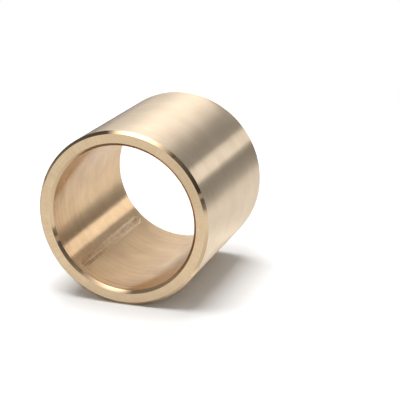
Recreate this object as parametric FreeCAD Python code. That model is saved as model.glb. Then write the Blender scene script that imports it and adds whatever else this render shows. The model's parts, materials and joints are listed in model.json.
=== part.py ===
"""Plain bronze bushing: one turned sleeve with chamfered ends and a blind lubrication groove along its bore.

Millimetres. The bushing stands on its lower end: +Z runs up the bore, and the origin is the middle of that end.
"""
import FreeCAD
import Part

import math
import os

from FreeCAD import Vector

# Sleeve
bore_diameter = 50.0
wall_thickness = 5.0
length = 60.0

# Chamfers at 45 degrees on both ends, each measured along the axis
outside_chamfer = 1.0
bore_chamfer = 1.0

# Lubrication groove: a V along the bore, whose root rises to the bore wall at each end
groove_width = 3.4
groove_angle = 100.0
groove_root_radius = 0.3
groove_end_margin = 3.0
groove_runout = 3.0
groove_azimuth = 90.0

# How far the cutter keeps rising past the bore wall at each end, as a share of the run-out
slope_overrun = 0.2

bore_radius = bore_diameter / 2
outside_radius = bore_radius + wall_thickness


def turned_sleeve():
    """The sleeve as it leaves the lathe: its half section, with the chamfers, turned once round the axis."""
    half_section = Part.makePolygon([
        Vector(bore_radius + bore_chamfer, 0, 0),
        Vector(outside_radius - outside_chamfer, 0, 0),
        Vector(outside_radius, 0, outside_chamfer),
        Vector(outside_radius, 0, length - outside_chamfer),
        Vector(outside_radius - outside_chamfer, 0, length),
        Vector(bore_radius + bore_chamfer, 0, length),
        Vector(bore_radius, 0, length - bore_chamfer),
        Vector(bore_radius, 0, bore_chamfer),
        Vector(bore_radius + bore_chamfer, 0, 0),
    ])
    return Part.Face(half_section).revolve(Vector(0, 0, 0), Vector(0, 0, 1), 360)


def groove_section():
    """The groove's section across the bore, open towards the axis, and its depth, as (face, depth).

    +X is radial and +Y runs round the bore. The flanks meet the bore wall groove_width apart.
    """
    half_angle = math.radians(groove_angle / 2)
    half_width = groove_width / 2
    edge_x = math.sqrt(bore_radius**2 - half_width**2)
    apex_x = edge_x + half_width / math.tan(half_angle)
    root_centre_x = apex_x - groove_root_radius / math.sin(half_angle)
    root_x = root_centre_x + groove_root_radius
    depth = root_x - bore_radius

    tangent_x = root_centre_x + groove_root_radius * math.sin(half_angle)
    tangent_y = groove_root_radius * math.cos(half_angle)
    # The section is closed as far inside the bore as the root is outside it
    mouth_x = bore_radius - depth
    mouth_y = (apex_x - mouth_x) * math.tan(half_angle)

    root = Part.Arc(Vector(tangent_x, -tangent_y, 0), Vector(root_x, 0, 0), Vector(tangent_x, tangent_y, 0))
    flanks_and_mouth = Part.makePolygon([
        Vector(tangent_x, tangent_y, 0),
        Vector(mouth_x, mouth_y, 0),
        Vector(mouth_x, -mouth_y, 0),
        Vector(tangent_x, -tangent_y, 0),
    ])
    outline = Part.Wire([root.toShape()] + flanks_and_mouth.Edges)
    return Part.Face(outline), depth


def groove_cut():
    """What the grooving tool removes: a level run at full depth, and a slope up to the bore wall at each end."""
    section, depth = groove_section()
    level_start = groove_end_margin + groove_runout
    level_end = length - level_start
    slope_rise = depth * (1 + slope_overrun)
    slope_length = groove_runout * (1 + slope_overrun)

    section_at_start = section.translated(Vector(0, 0, level_start))
    section_at_end = section.translated(Vector(0, 0, level_end))
    level_run = section_at_start.extrude(Vector(0, 0, level_end - level_start))
    lower_slope = section_at_start.extrude(Vector(-slope_rise, 0, -slope_length))
    upper_slope = section_at_end.extrude(Vector(-slope_rise, 0, slope_length))

    cut = level_run.fuse([lower_slope, upper_slope])
    cut.rotate(Vector(0, 0, 0), Vector(0, 0, 1), groove_azimuth)
    return cut


def bushing():
    """The finished piece."""
    return turned_sleeve().cut(groove_cut())


def main():
    os.makedirs("parts", exist_ok=True)
    bushing().exportStep(os.path.join("parts", "bushing.step"))


main()
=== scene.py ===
"""A plain bronze bushing, dressed for the camera.

Metres, in the part's own frame: the bushing stands on its lower end, +Z runs up the bore and the groove
faces +Y. In the photograph it lies on its side, so it is the studio that is turned: its floor touches the
side that the bushing lies on.
"""
import json
import math

import bpy
from mathutils import Euler, Matrix, Vector


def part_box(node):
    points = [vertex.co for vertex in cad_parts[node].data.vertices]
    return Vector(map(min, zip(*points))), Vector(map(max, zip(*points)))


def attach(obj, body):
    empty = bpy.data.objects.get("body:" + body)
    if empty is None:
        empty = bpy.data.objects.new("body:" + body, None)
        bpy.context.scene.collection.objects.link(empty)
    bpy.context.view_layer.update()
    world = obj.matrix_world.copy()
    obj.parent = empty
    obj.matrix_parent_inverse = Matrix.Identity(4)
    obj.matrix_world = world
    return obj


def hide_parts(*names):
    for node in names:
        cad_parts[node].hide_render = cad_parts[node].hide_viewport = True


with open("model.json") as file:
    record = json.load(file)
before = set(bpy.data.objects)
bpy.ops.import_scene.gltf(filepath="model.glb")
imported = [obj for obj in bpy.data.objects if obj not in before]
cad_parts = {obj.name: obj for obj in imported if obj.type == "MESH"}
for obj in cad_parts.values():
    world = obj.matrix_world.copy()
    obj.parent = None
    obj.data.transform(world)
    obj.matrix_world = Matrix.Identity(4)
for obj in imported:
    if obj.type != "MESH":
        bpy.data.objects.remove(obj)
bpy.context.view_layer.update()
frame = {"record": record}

MM = 0.001

# Sizes that the frame gives
mounts = {mount["name"]: mount for mount in frame["record"]["mounts"]}
low_corner, high_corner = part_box("bushing")
length = high_corner.z - low_corner.z
bore_radius = mounts["bore"]["dims"]["r_mm"] * MM
outside_radius = mounts["outside_seat"]["dims"]["r_mm"] * MM
chamfer = (length - mounts["bore"]["dims"]["length_mm"] * MM) / 2

# Lubrication groove, along the bore wall at +Y
groove_width = 3.4 * MM
groove_angle = math.radians(100)
groove_root_radius = 0.3 * MM
groove_end_margin = 3.0 * MM
groove_runout = 3.0 * MM

# What a file leaves on the lathe's sharp edges
edge_break = 0.12 * MM

# How finely the curves are drawn
steps_round = 480
edge_break_steps = 5
groove_root_steps = 8
groove_stations = 241

# Feed marks of the finishing cut: how wide each is along the feed, and how far round it runs before it
# fades into another. They are too fine to show at the photograph's size, so some are drawn again, as coarse
# as they need to be to show.
feed_mark_width = 0.12 * MM
feed_mark_run = 60 * MM
visible_mark_width = 0.45 * MM
visible_mark_run = 14 * MM

# Wider rings, where the tool chattered
ring_width = 3.5 * MM
ring_run = 45 * MM

# Scratches that cross the feed marks: along the bore in the groove, and across the wall at the ends
scratch_width = 0.7 * MM
scratch_run = 7 * MM

# The relief of all the marks that show
mark_depth = 0.02 * MM

# How rough the metal is where fine scratches have dulled it, and how much smoother it is where it is paler
haze_roughness = 0.7
pale_smoothing = 0.12

# The studio's own axes, as the photograph shows them: x to the right, y away along the bore, z up from the
# floor. The floor touches the bushing this far round from the groove.
contact_from_groove = math.radians(40.4)

# Camera, in the studio's axes, measured from the floor under the middle of the bushing
camera_place = Vector((0.1502, -0.3854, 0.1615))
camera_heading = math.radians(19.07)
camera_pitch = math.radians(-17.94)
camera_lens = 111.57
camera_sensor = 36

# The overhead lamp. Blender wants its power, which is four times its area for each unit of radiance.
lamp_place = Vector((-0.09, 0.0, 0.75))
lamp_width = 0.62
lamp_depth = 0.7
lamp_radiance = 4.4
power_per_radiance = 4

# The level of the surroundings' light on what isn't metal
world_fill = 0.35


def add_node(tree, kind, sockets=None, **settings):
    """Adds a node to a tree. sockets gives each input, by name or number, its value or what feeds it."""
    node = tree.nodes.new(kind)
    for setting, value in settings.items():
        setattr(node, setting, value)
    for name, value in (sockets or {}).items():
        if isinstance(value, bpy.types.NodeSocket):
            tree.links.new(value, node.inputs[name])
        else:
            node.inputs[name].default_value = value
    return node


def linear(hex_colour):
    """An sRGB hex colour as linear RGBA."""
    shares = [int(hex_colour[start:start + 2], 16) / 255 for start in (1, 3, 5)]
    return [s / 12.92 if s <= 0.04045 else ((s + 0.055) / 1.055) ** 2.4 for s in shares] + [1.0]


# Studio

def studio_axes():
    """The matrix that takes the studio's coordinates to the part's frame."""
    contact_azimuth = math.radians(90) + contact_from_groove
    contact = Vector((math.cos(contact_azimuth), math.sin(contact_azimuth), 0))
    up = -contact
    away = Vector((0, 0, -1))
    right = away.cross(up)
    matrix = Matrix((right, away, up)).transposed().to_4x4()
    matrix.translation = contact * outside_radius + Vector((0, 0, length / 2))
    return matrix


studio = studio_axes()


def add_camera():
    camera = bpy.data.objects.new("camera", bpy.data.cameras.new("camera"))
    bpy.context.scene.collection.objects.link(camera)
    camera.data.sensor_width = camera_sensor
    camera.data.lens = camera_lens
    camera.data.clip_start = 0.01
    turn = Euler((math.radians(90) + camera_pitch, 0, camera_heading))
    camera.matrix_world = studio @ Matrix.Translation(camera_place) @ turn.to_matrix().to_4x4()
    bpy.context.scene.camera = camera


def surroundings():
    """Plain white for what looks at them, and a softer level for what they light."""
    world = bpy.data.worlds.new("studio")
    bpy.context.scene.world = world
    world.cycles.sampling_method = "NONE"
    world.use_nodes = True
    tree = world.node_tree
    tree.nodes.clear()
    path = add_node(tree, "ShaderNodeLightPath").outputs
    seen = add_node(
        tree, "ShaderNodeMath", {0: path["Is Camera Ray"], 1: path["Is Glossy Ray"]}, operation="MAXIMUM")
    seen = add_node(
        tree, "ShaderNodeMath", {0: seen.outputs[0], 1: path["Is Transmission Ray"]}, operation="MAXIMUM")
    strength = add_node(
        tree, "ShaderNodeMapRange", {"Value": seen.outputs[0], "To Min": world_fill, "To Max": 1.0})
    background = add_node(
        tree, "ShaderNodeBackground", {"Color": (1, 1, 1, 1), "Strength": strength.outputs["Result"]})
    add_node(tree, "ShaderNodeOutputWorld", {"Surface": background.outputs[0]})


def softbox():
    """The overhead lamp that lights the stage.

    The metal doesn't see it, but mirrors the diffuser in its place: a card with a painted highlight.
    """
    lamp = bpy.data.lights.new("softbox", "AREA")
    lamp.shape = "RECTANGLE"
    lamp.size = lamp_width
    lamp.size_y = lamp_depth
    lamp.energy = lamp_radiance * power_per_radiance * lamp.size * lamp.size_y
    box = bpy.data.objects.new("softbox", lamp)
    bpy.context.scene.collection.objects.link(box)
    box.matrix_world = studio @ Matrix.Translation(lamp_place)
    box.visible_camera = False
    box.visible_glossy = False


def paper():
    """Matt white studio paper. Its back lets light and sight through, for a look at the part from below."""
    paint = bpy.data.materials.new("matt white paper")
    paint.use_nodes = True
    tree = paint.node_tree
    tree.nodes.clear()
    front = add_node(tree, "ShaderNodeBsdfDiffuse", {"Color": linear("#FAFAFA")})
    clear = add_node(tree, "ShaderNodeBsdfTransparent")
    back = add_node(tree, "ShaderNodeNewGeometry").outputs["Backfacing"]
    sides = add_node(tree, "ShaderNodeMixShader", {0: back, 1: front.outputs[0], 2: clear.outputs[0]})
    add_node(tree, "ShaderNodeOutputMaterial", {"Surface": sides.outputs[0]})
    return paint


def stage_mesh(name, corners, faces, paint):
    """A piece of the stage, given by its corners in the studio's axes."""
    mesh = bpy.data.meshes.new(name)
    mesh.from_pydata([studio @ Vector(corner) for corner in corners], [], faces)
    mesh.materials.append(paint)
    piece = bpy.data.objects.new(name, mesh)
    bpy.context.scene.collection.objects.link(piece)
    return piece


def directions(steps):
    """Level directions, evenly spaced all the way round."""
    turns = [math.tau * step / steps for step in range(steps)]
    return [Vector((math.cos(turn), math.sin(turn), 0)) for turn in turns]


def floor():
    """A round sheet of paper. It ends where the lamp still makes it as white as the surroundings."""
    reach = 0.3
    steps = 64
    below_lamp = Vector((lamp_place.x, lamp_place.y, 0))
    rim = [below_lamp + direction * reach for direction in directions(steps)]
    stage_mesh("floor", rim, [range(steps)], paper())


def card_paint(name, sampling):
    """A card's plain grey, as dark or as light as its tone attribute says."""
    paint = bpy.data.materials.new(name)
    paint.cycles.emission_sampling = sampling
    paint.use_nodes = True
    tree = paint.node_tree
    tree.nodes.clear()
    tone = add_node(tree, "ShaderNodeAttribute", attribute_name="tone").outputs["Fac"]
    grey = add_node(tree, "ShaderNodeEmission", {"Strength": tone})
    add_node(tree, "ShaderNodeOutputMaterial", {"Surface": grey.outputs[0]})
    return paint


def grid_faces(rows, columns):
    """Four-sided faces for a grid whose corners are listed row by row."""
    width = columns + 1
    return [
        (start, start + 1, start + width + 1, start + width)
        for row in range(rows) for start in range(row * width, row * width + columns)]


def seen_in_metal_only(piece, greys):
    """Gives a card its tones, and hides it from all but what the metal mirrors."""
    tone = piece.data.attributes.new("tone", "FLOAT", "POINT")
    tone.data.foreach_set("value", greys)
    piece.visible_camera = False
    piece.visible_diffuse = False
    piece.visible_transmission = False
    piece.visible_shadow = False


def blend(first, last, share):
    """What lies a share of the way from the first values to the last."""
    return [start * (1 - share) + end * share for start, end in zip(first, last)]


def card(name, foot, head, tones, distance, paint):
    """A curved card that the metal mirrors, and that neither lights nor shades anything else.

    foot and head are the two ends of its lower and upper edge, each as a bearing, in degrees from straight
    away towards the right, and a height, in degrees above the middle of the bushing. tones are the greys at
    those ends.
    """
    columns = 20
    rows = 10
    foot_start, foot_end = [(*place, tone) for place, tone in zip(foot, tones[0])]
    head_start, head_end = [(*place, tone) for place, tone in zip(head, tones[1])]
    corners = []
    greys = []
    for row in range(rows + 1):
        for column in range(columns + 1):
            low = blend(foot_start, foot_end, column / columns)
            high = blend(head_start, head_end, column / columns)
            bearing, height, tone = blend(low, high, row / rows)
            bearing = math.radians(bearing)
            height = math.radians(height)
            level = distance * math.cos(height)
            rise = outside_radius + distance * math.sin(height)
            corners.append((level * math.sin(bearing), level * math.cos(bearing), rise))
            greys.append(tone)
    seen_in_metal_only(stage_mesh(name, corners, grid_faces(rows, columns), paint), greys)


def sheet(name, across, along, height, paint):
    """A level card. across pairs places to the right with tones, along pairs places away with shares."""
    corners = [(right, away, height) for away, _ in along for right, _ in across]
    greys = [tone * share for _, share in along for _, tone in across]
    faces = grid_faces(len(along) - 1, len(across) - 1)
    seen_in_metal_only(stage_mesh(name, corners, faces, paint), greys)


def diffuser():
    """Painted highlights: the softbox's cloth, and a lower one behind it that no lamp lights. They are cards
    that glow for the metal only. Both are brightest a little left of the bushing.
    """
    cloth = card_paint("painted highlight cloth", "AUTO")
    across = ((-0.46, 0.2), (-0.4, 0.75), (-0.085, 4.7), (0.16, 2.5), (0.33, 1.25), (0.48, 0.1))
    along = ((-0.6, 0.3), (-0.4, 0.35), (-0.28, 1.0), (-0.05, 1.0), (0.12, 0.3), (0.45, 0.25))
    sheet("diffuser", across, along, lamp_place.z, cloth)
    lower_height = 0.6
    across = (
        (-0.75, 1.0), (-0.36, 1.7), (-0.2, 2.35), (-0.067, 2.5),
        (0.037, 2.0), (0.126, 1.5), (0.26, 0.8), (0.38, 0.35))
    sheet("painted back highlight", across, ((0.45, 1.0), (0.98, 1.0)), lower_height, cloth)


def shade(paint):
    """A darker round spot on the sheet in front, which part of the near end mirrors."""
    middle = Vector((-0.032, -0.152, 0.001))
    radius = 0.045
    middle_tone = 0.35
    rim_tone = 0.98
    steps = 16
    rim = [middle + direction * radius for direction in directions(steps)]
    faces = [(steps, step, (step + 1) % steps) for step in range(steps)]
    tones = [rim_tone] * steps + [middle_tone]
    seen_in_metal_only(stage_mesh("shade", rim + [middle], faces, paint), tones)


def cards():
    # Every card and sheet below is a painted reflection: a glowing grey that only the metal sees, lit by no
    # lamp
    paint = card_paint("painted reflection card", "NONE")

    # What the metal mirrors of the floor: sheets a hair above it that stop just short of the bushing, with
    # the floor's shade painted into their darker tones
    lift = 0.0005
    edge = 0.031
    left_fade = ((-0.9, 0.35), (-0.4, 0.55), (-0.22, 0.76))
    right_fade = ((0.2, 1.0), (0.3, 0.9), (0.45, 0.75), (0.9, 0.4))
    sheet(
        "front sheet", (*left_fade, (-0.1, 1.0), *right_fade), ((-0.6, 1.0), (-0.06, 0.97), (-edge, 0.72)),
        lift, paint)
    sheet(
        "left back sheet", (*left_fade, (-0.12, 0.85)),
        ((edge, 1.0), (0.08, 0.95), (0.17, 0.38), (0.9, 0.33)), lift, paint)
    sheet(
        "back sheet", ((-0.12, 0.42), (-0.04, 1.05), (0.1, 1.1), (0.45, 1.3)),
        ((edge, 0.85), (0.08, 1.0), (0.2, 0.87), (0.4, 0.48), (0.9, 0.4)), lift, paint)
    sheet("left sheet", (*left_fade, (-edge, 0.8)), ((-edge, 1.0), (edge, 0.9)), lift, paint)
    sheet("right sheet", ((edge, 1.2), *right_fade), ((-edge, 1.0), (edge, 1.2)), lift, paint)

    # A card as high as the bushing, over the floor behind: a painted darker reflection, which the bore
    # mirrors in place of the painted back highlight
    dark_reflection_tones = (
        (-0.085, 0.9), (-0.028, 0.95), (-0.012, 0.78), (-0.002, 0.7), (0.008, 0.55), (0.028, 0.42))
    sheet("dark reflection card", dark_reflection_tones, ((edge, 1.1), (0.06, 0.95), (0.16, 0.95)), 2 * outside_radius, paint)
    shade(paint)

    # How far off the curved cards stand
    near = 1.1
    far = 1.2
    farthest = 1.4

    # On the left
    card(
        "left foot", ((-135, -5), (-76, -5)), ((-135, 8), (-84, 8)), ((0.5, 0.55), (0.3, 0.36)),
        near, paint)
    card(
        "left back foot", ((-76, -5), (-34, -5)), ((-84, 8), (-36, 8)), ((0.38, 0.3), (0.15, 0.35)),
        near, paint)
    card(
        "left card", ((-135, 8), (-84, 8)), ((-150, 57), (-113, 57)), ((0.26, 0.3), (0.09, 0.15)),
        near, paint)
    card(
        "left back card", ((-84, 8), (-36, 8)), ((-113, 57), (-56, 57)), ((0.15, 0.35), (0.04, 0.2)),
        near, paint)
    card(
        "left card edge", ((-34, -5), (-23, -5)), ((-56, 57), (-40, 57)), ((0.35, 1.05), (0.35, 1.55)),
        near, paint)

    # Straight behind, and a pale strip from there round to the right
    card("painted back reflection", ((-40, 0), (3, 12)), ((-40, 58), (3, 58)), ((1.25, 1.0), (0.8, 0.65)), far, paint)
    card("strip card", ((3, -2), (70, 5)), ((3, 30), (70, 50)), ((1.5, 1.5), (1.5, 1.5)), farthest, paint)
    card(
        "strip card turn", ((70, 5), (105, 3)), ((70, 50), (105, 40)), ((1.5, 0.45), (1.5, 0.45)),
        farthest, paint)
    card(
        "strip card end", ((105, 3), (150, 0)), ((105, 40), (150, 20)), ((0.45, 0.4), (0.45, 0.4)),
        farthest, paint)

    # Dark cards in front of the strip, which leave a band of it to see: the upper ones, then the lower ones
    card("back card edge", ((3, 0.5), (10, 6.5)), ((3, 50), (10, 50)), ((1.0, 0.6), (0.7, 0.38)), far, paint)
    card("back card", ((10, 6.5), (24, 18.5)), ((10, 50), (24, 50)), ((0.6, 0.4), (0.38, 0.28)), far, paint)
    card("right card", ((24, 18.5), (60, 33)), ((24, 50), (60, 54)), ((0.4, 0.25), (0.4, 0.25)), far, paint)
    card(
        "right front card", ((60, 33), (112, 12.5)), ((60, 54), (112, 54)), ((0.25, 0.04), (0.25, 0.05)),
        far, paint)
    card(
        "front card", ((112, 12.5), (150, 10)), ((112, 54), (150, 46)), ((0.04, 0.1), (0.1, 0.3)),
        far, paint)
    card(
        "low back card", ((10, -5), (28, -5)), ((10, -4), (28, 9)), ((0.65, 0.45), (0.4, 0.18)),
        near, paint)
    card(
        "low right card", ((28, -5), (60, -5)), ((28, 9), (60, 20)), ((0.45, 0.45), (0.18, 0.15)),
        near, paint)
    card(
        "low front card", ((60, -5), (150, -5)), ((60, 20), (150, 0.2)), ((0.5, 0.3), (0.15, 0.03)),
        near, paint)


# Bushing

def lathe_tree():
    """The bushing as a rule: a filleted half section swept round the bore axis, less a V-shaped cutter."""
    tree = bpy.data.node_groups.new("turned sleeve with a groove", "GeometryNodeTree")
    sizes = {
        "Bore radius": bore_radius, "Outside radius": outside_radius, "Length": length, "Chamfer": chamfer,
        "Edge break": edge_break, "Groove width": groove_width, "Groove angle": groove_angle,
        "Groove root radius": groove_root_radius, "Groove end margin": groove_end_margin,
        "Groove run-out": groove_runout,
    }
    finishes = (
        "Outside finish", "Bore finish and painted shade", "End finish", "Chamfer finish", "Bore chamfer finish",
        "Groove finish",
    )
    interface = tree.interface
    interface.new_socket("Geometry", in_out="OUTPUT", socket_type="NodeSocketGeometry")
    for name in sizes:
        interface.new_socket(name, in_out="INPUT", socket_type="NodeSocketFloat")
    interface.new_socket("Steps round", in_out="INPUT", socket_type="NodeSocketInt")
    for name in finishes:
        interface.new_socket(name, in_out="INPUT", socket_type="NodeSocketMaterial")
    given = add_node(tree, "NodeGroupInput").outputs

    def calc(operation, first, second=0.0):
        return add_node(tree, "ShaderNodeMath", {0: first, 1: second}, operation=operation).outputs[0]

    def finished(geometry, finish, where=True):
        return add_node(
            tree, "GeometryNodeSetMaterial",
            {"Geometry": geometry, "Selection": where, "Material": given[finish]})

    # The sleeve: a rectangle with each corner cut, then each edge broken, swept round the middle of the wall
    wall = calc("SUBTRACT", given["Outside radius"], given["Bore radius"])
    middle_radius = calc("MULTIPLY", calc("ADD", given["Outside radius"], given["Bore radius"]), 0.5)
    middle_height = calc("MULTIPLY", given["Length"], 0.5)
    section = add_node(
        tree, "GeometryNodeCurvePrimitiveQuadrilateral",
        {"Width": wall, "Height": given["Length"]}).outputs[0]
    section = add_node(
        tree, "GeometryNodeFilletCurve",
        {"Curve": section, "Count": 1, "Radius": given["Chamfer"]}, mode="POLY")
    section = add_node(
        tree, "GeometryNodeFilletCurve",
        {"Curve": section.outputs[0], "Count": edge_break_steps, "Radius": given["Edge break"]},
        mode="POLY")
    circle = add_node(
        tree, "GeometryNodeCurvePrimitiveCircle",
        {"Resolution": given["Steps round"], "Radius": middle_radius})
    sleeve = add_node(
        tree, "GeometryNodeCurveToMesh", {"Curve": circle.outputs[0], "Profile Curve": section.outputs[0]})
    lift = add_node(tree, "ShaderNodeCombineXYZ", {"Z": middle_height}).outputs[0]
    sleeve = add_node(tree, "GeometryNodeTransform", {"Geometry": sleeve.outputs[0], "Translation": lift})

    # Its finishes, told apart by how far out the surface lies, and how far it faces along the bore, 0 to 1
    least_of_a_chamfer = 0.3
    least_of_an_end = 0.999
    normal = add_node(tree, "GeometryNodeInputNormal").outputs[0]
    endwise = calc("ABSOLUTE", add_node(tree, "ShaderNodeSeparateXYZ", {0: normal}).outputs["Z"])
    position = add_node(tree, "GeometryNodeInputPosition").outputs[0]
    level = add_node(
        tree, "ShaderNodeVectorMath", {0: position, 1: (1, 1, 0)}, operation="MULTIPLY").outputs[0]
    reach = add_node(tree, "ShaderNodeVectorMath", {0: level}, operation="LENGTH").outputs["Value"]
    inside = calc("LESS_THAN", reach, middle_radius)
    slanting = calc("GREATER_THAN", endwise, least_of_a_chamfer)
    sleeve = finished(sleeve.outputs[0], "Outside finish")
    sleeve = finished(sleeve.outputs[0], "Bore finish and painted shade", inside)
    sleeve = finished(sleeve.outputs[0], "Chamfer finish", slanting)
    sleeve = finished(sleeve.outputs[0], "Bore chamfer finish", calc("MULTIPLY", slanting, inside))
    sleeve = finished(sleeve.outputs[0], "End finish", calc("GREATER_THAN", endwise, least_of_an_end))

    # The groove's depth, from its width at the bore wall, its angle and its root radius
    half_width = calc("MULTIPLY", given["Groove width"], 0.5)
    half_angle = calc("MULTIPLY", given["Groove angle"], 0.5)
    edge_reach = calc("SQRT", calc(
        "SUBTRACT", calc("POWER", given["Bore radius"], 2.0), calc("POWER", half_width, 2.0)))
    apex_reach = calc("ADD", edge_reach, calc("DIVIDE", half_width, calc("TANGENT", half_angle)))
    blunting = calc("MULTIPLY", given["Groove root radius"], calc(
        "SUBTRACT", calc("DIVIDE", 1.0, calc("SINE", half_angle)), 1.0))
    depth = calc("SUBTRACT", calc("SUBTRACT", apex_reach, blunting), given["Bore radius"])

    # The cutter: a kite, swept along the bore a little past the run-outs. Its blunted tip cuts the root, and
    # the rest of it stands well inside the bore.
    depths_to_widest = 3.0
    runouts_cut = 1.2
    tip_height = calc("MULTIPLY", depth, depths_to_widest)
    kite = add_node(tree, "GeometryNodeCurvePrimitiveQuadrilateral", {
        "Width": calc("MULTIPLY", calc("MULTIPLY", tip_height, calc("TANGENT", half_angle)), 2.0),
        "Top Height": tip_height, "Bottom Height": depth}, mode="KITE")
    kite = add_node(
        tree, "GeometryNodeFilletCurve",
        {"Curve": kite.outputs[0], "Count": groove_root_steps, "Radius": given["Groove root radius"]},
        mode="POLY")
    half_level = calc(
        "SUBTRACT", middle_height, calc("ADD", given["Groove end margin"], given["Groove run-out"]))
    half_cut = calc("ADD", half_level, calc("MULTIPLY", given["Groove run-out"], runouts_cut))
    low_end = add_node(tree, "ShaderNodeCombineXYZ", {"Z": calc("SUBTRACT", middle_height, half_cut)})
    high_end = add_node(tree, "ShaderNodeCombineXYZ", {"Z": calc("ADD", middle_height, half_cut)})
    line = add_node(
        tree, "GeometryNodeCurvePrimitiveLine", {"Start": low_end.outputs[0], "End": high_end.outputs[0]})
    line = add_node(
        tree, "GeometryNodeResampleCurve", {"Curve": line.outputs[0], "Count": groove_stations})
    cutter = add_node(
        tree, "GeometryNodeCurveToMesh",
        {"Curve": line.outputs[0], "Profile Curve": kite.outputs[0], "Fill Caps": True})

    # Set at the wall, and lifted out of it over each run-out
    height = add_node(tree, "ShaderNodeSeparateXYZ", {0: position}).outputs["Z"]
    from_middle = calc("ABSOLUTE", calc("SUBTRACT", height, middle_height))
    past_level = calc("MAXIMUM", calc("SUBTRACT", from_middle, half_level), 0.0)
    lift_out = calc("MULTIPLY", past_level, calc("DIVIDE", depth, given["Groove run-out"]))
    widest_place = calc("SUBTRACT", calc("SUBTRACT", apex_reach, tip_height), lift_out)
    to_wall = add_node(tree, "ShaderNodeCombineXYZ", {"Y": widest_place}).outputs[0]
    cutter = add_node(tree, "GeometryNodeSetPosition", {"Geometry": cutter.outputs[0], "Offset": to_wall})
    cut = add_node(
        tree, "GeometryNodeMeshBoolean", {"Mesh 1": sleeve.outputs[0], "Mesh 2": cutter.outputs[0]},
        operation="DIFFERENCE", solver="EXACT")

    # Smooth shading, with the groove's edges kept sharp
    least_sharp_bend = math.radians(15)
    smooth = add_node(tree, "GeometryNodeSetShadeSmooth", {"Geometry": cut.outputs[0]}, domain="FACE")
    bend = add_node(tree, "GeometryNodeInputMeshEdgeAngle").outputs["Unsigned Angle"]
    sharp = calc("GREATER_THAN", bend, least_sharp_bend)
    smooth = add_node(
        tree, "GeometryNodeSetShadeSmooth",
        {"Geometry": smooth.outputs[0], "Selection": sharp, "Shade Smooth": False}, domain="EDGE")

    # The groove's finish goes on whatever lies deeper than the bore wall between the cutter's ends
    bore_radii_to_groove = 1.0001
    real = add_node(tree, "GeometryNodeRealizeInstances", {"Geometry": smooth.outputs[0]})
    deeper = calc("GREATER_THAN", reach, calc("MULTIPLY", given["Bore radius"], bore_radii_to_groove))
    between_ends = calc("LESS_THAN", from_middle, half_cut)
    in_groove = calc("MULTIPLY", inside, calc("MULTIPLY", deeper, between_ends))
    real = finished(real.outputs[0], "Groove finish", in_groove)
    add_node(tree, "NodeGroupOutput", {"Geometry": real.outputs[0]})
    return tree, sizes


def bushing():
    tree, values = lathe_tree()
    values["Steps round"] = steps_round

    # Tin bronze, also called phosphor bronze, turned to size with a fine feed. Rings too fine to make out
    # run round it and smear each light along the bushing, so its bands are soft and it looks silky.
    values["Outside finish"] = bronze(
        "finish-turned tin bronze", "#CCB396", "#EBDBC2", roughness=0.29, anisotropy=1.0, turn=0.25,
        haze=0.08, feed_tilt=0.6, marks=0.3, rings=0.2, scratches=0.0, patch_size=8 * MM, mottling=0.5)

    # The same bronze, bored, and the boring bar's slight chatter leaves rings wide enough to see. Its
    # colours are warmer and deeper than the outside's: painted shade and warmth, for the light that goes
    # from wall to wall in there.
    values["Bore finish and painted shade"] = bronze(
        "bored tin bronze with painted shade", "#C9A780", "#EBCBA1", roughness=0.2, anisotropy=0.9, turn=0.25,
        haze=0.12, feed_tilt=0.4, marks=0.3, rings=0.4, scratches=0.0, patch_size=8 * MM, mottling=0.8)

    # The same bronze, faced across the ends, then rubbed on emery to take off the burr. It is the flattest
    # tone of all, with short scratches that run across the wall.
    values["End finish"] = bronze(
        "faced tin bronze", "#CAAC86", "#F0D8B5", roughness=0.24, anisotropy=0.8, turn=0.25,
        haze=0.0, feed_tilt=0.1, marks=0.4, rings=0.0, scratches=0.6, patch_size=5 * MM, mottling=0.4)

    # The same bronze, cut by the flat of a sharp chamfering tool, which leaves hardly a feed mark. It is
    # close to a mirror, so its ring goes from almost white to almost black.
    values["Chamfer finish"] = bronze(
        "bright-turned tin bronze", "#CFB28D", "#EBD2AE", roughness=0.12, anisotropy=0.8, turn=0.25,
        haze=0.0, feed_tilt=0.0, marks=0.1, rings=0.0, scratches=0.0, patch_size=8 * MM, mottling=0.2)

    # As bright, then deburred by hand where the shaft goes in, which lifts its darkest parts a little.
    values["Bore chamfer finish"] = bronze(
        "deburred tin bronze", "#CFB28D", "#EBD2AE", roughness=0.13, anisotropy=0.8, turn=0.25,
        haze=0.1, feed_tilt=0.0, marks=0.1, rings=0.0, scratches=0.0, patch_size=8 * MM, mottling=0.2)

    # The same bronze, planed by a pointed tool drawn along the bore. Its flanks are torn rather than cut, so
    # they are dull and blotched, and no ring of the bore runs on across them.
    values["Groove finish"] = bronze(
        "planed tin bronze", "#B5977A", "#F0DCBC", roughness=0.38, anisotropy=0.3, turn=0.0,
        haze=0.15, feed_tilt=0.0, marks=0.0, rings=0.0, scratches=0.6, patch_size=1.5 * MM, mottling=1.2)

    host = bpy.data.objects.new("host", bpy.data.meshes.new("host"))
    bpy.context.scene.collection.objects.link(host)
    rule = host.modifiers.new("lathe", "NODES")
    rule.node_group = tree
    for item in tree.interface.items_tree:
        if item.in_out == "INPUT":
            rule[item.identifier] = values[item.name]
    flats = host.modifiers.new("flats stay flat beside the broken edges", "WEIGHTED_NORMAL")
    flats.keep_sharp = True
    graph = bpy.context.evaluated_depsgraph_get()
    mesh = bpy.data.meshes.new_from_object(host.evaluated_get(graph))
    bpy.data.objects.remove(host)
    mesh.name = "turned_bushing"
    piece = bpy.data.objects.new("turned_bushing", mesh)
    bpy.context.scene.collection.objects.link(piece)
    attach(piece, "root")
    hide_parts("bushing")


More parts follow.
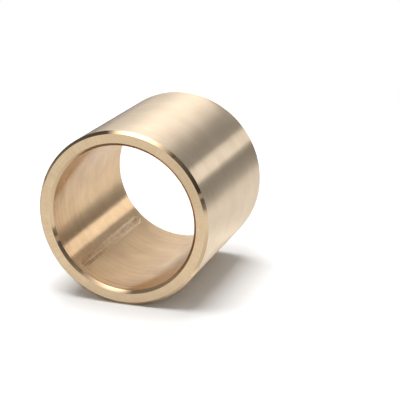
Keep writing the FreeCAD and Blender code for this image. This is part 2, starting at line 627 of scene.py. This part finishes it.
def bronze(
        name, deep, pale, roughness, anisotropy, turn, haze, feed_tilt, marks, rings, scratches, patch_size,
        mottling):
    """Tin bronze, cut by a tool. The marks follow the lathe: they run round the bore axis, side by side.

    deep and pale are the ends of its range of colour. turn is the way the marks smear what they mirror, as a
    share of a full turn from round the axis. haze is the share of the surface that fine scratches have
    dulled. feed_tilt is how far the feed marks tilt the surface. marks, rings, scratches and mottling are
    how strongly each pattern shows.
    """
    paint = bpy.data.materials.new(name)
    paint.use_nodes = True
    tree = paint.node_tree
    tree.nodes.clear()

    def calc(operation, first, second=0.0):
        return add_node(tree, "ShaderNodeMath", {0: first, 1: second}, operation=operation).outputs[0]

    def vector(operation, first, second=(0, 0, 0)):
        return add_node(
            tree, "ShaderNodeVectorMath", {0: first, 1: second}, operation=operation).outputs[0]

    place = add_node(tree, "ShaderNodeTexCoord").outputs["Object"]
    level = vector("MULTIPLY", place, (1, 1, 0))
    reach = add_node(tree, "ShaderNodeVectorMath", {0: level}, operation="LENGTH").outputs["Value"]
    outwards = vector("NORMALIZE", level)
    height = add_node(tree, "ShaderNodeSeparateXYZ", {0: place}).outputs["Z"]

    def lathe_noise(round_size, feed_size, detail):
        """Noise whose grains are round_size long round the axis and feed_size wide along the feed."""
        upward = add_node(tree, "ShaderNodeCombineXYZ", {"Z": calc("DIVIDE", height, feed_size)}).outputs[0]
        arc = outside_radius / round_size
        grains = vector("ADD", vector("MULTIPLY", outwards, (arc, arc, 0)), upward)
        return add_node(
            tree, "ShaderNodeTexNoise",
            {"Vector": grains, "W": calc("DIVIDE", reach, feed_size), "Scale": 1.0, "Detail": detail},
            noise_dimensions="4D").outputs[0]

    def centred(noise, strength):
        """Noise as strong as it should be, about zero instead of about a half."""
        return calc("MULTIPLY", calc("SUBTRACT", noise, 0.5), strength)

    feed_pattern = lathe_noise(feed_mark_run, feed_mark_width, 0.0)
    mark_pattern = lathe_noise(visible_mark_run, visible_mark_width, 1.0)
    ring_pattern = lathe_noise(ring_run, ring_width, 2.0)
    scratch_pattern = lathe_noise(scratch_width, scratch_run, 1.0)
    patches = add_node(
        tree, "ShaderNodeTexNoise", {"Vector": place, "Scale": 1 / patch_size, "Detail": 3.0}).outputs[0]

    # The feed marks tilt the surface to and fro across their own run
    facing = add_node(tree, "ShaderNodeNewGeometry").outputs["Normal"]
    run = vector("CROSS_PRODUCT", (0, 0, 1), outwards)
    across = vector("CROSS_PRODUCT", facing, run)
    tilt = centred(feed_pattern, feed_tilt)
    lean = add_node(
        tree, "ShaderNodeVectorMath", {0: across, "Scale": tilt}, operation="SCALE").outputs[0]
    tilted = vector("NORMALIZE", vector("ADD", facing, lean))

    # The other marks are relief, and half of it tells in the tone, which lies about the middle of its range.
    # Where the relief is low the colour is deeper: partly the marks' own tone, partly painted shade in their
    # hollows.
    relief_in_tone_and_painted_shade = 0.5
    middle_tone = 0.5
    relief = calc("ADD", centred(ring_pattern, rings), centred(scratch_pattern, scratches))
    relief = calc("ADD", relief, centred(mark_pattern, marks))
    bump = add_node(tree, "ShaderNodeBump", {
        "Height": relief, "Distance": mark_depth, "Strength": 1.0, "Normal": tilted}).outputs[0]
    patched = calc("ADD", middle_tone, centred(patches, mottling))
    tone = calc("ADD", calc("MULTIPLY", relief, relief_in_tone_and_painted_shade), patched)

    # Inputs 6 and 7 and output 2 of a Mix node are its colours
    colour = add_node(tree, "ShaderNodeMix", {
        "Factor": tone, 6: linear(deep), 7: linear(pale)}, data_type="RGBA").outputs[2]
    dullness = calc("ADD", roughness, centred(tone, -pale_smoothing))
    tangent = add_node(tree, "ShaderNodeTangent", direction_type="RADIAL", axis="Z").outputs[0]
    metal = add_node(tree, "ShaderNodeBsdfPrincipled", {
        "Base Color": colour, "Metallic": 1.0, "Roughness": dullness, "Anisotropic": anisotropy,
        "Anisotropic Rotation": turn, "Tangent": tangent, "Normal": bump})
    dulled = add_node(tree, "ShaderNodeBsdfPrincipled", {
        "Base Color": colour, "Metallic": 1.0, "Roughness": haze_roughness, "Normal": bump})
    surface = add_node(tree, "ShaderNodeMixShader", {0: haze, 1: metal.outputs[0], 2: dulled.outputs[0]})
    add_node(tree, "ShaderNodeOutputMaterial", {"Surface": surface.outputs[0]})
    return paint


bpy.context.scene.view_settings.view_transform = "Standard"
add_camera()
surroundings()
softbox()
floor()
diffuser()
cards()
bushing()
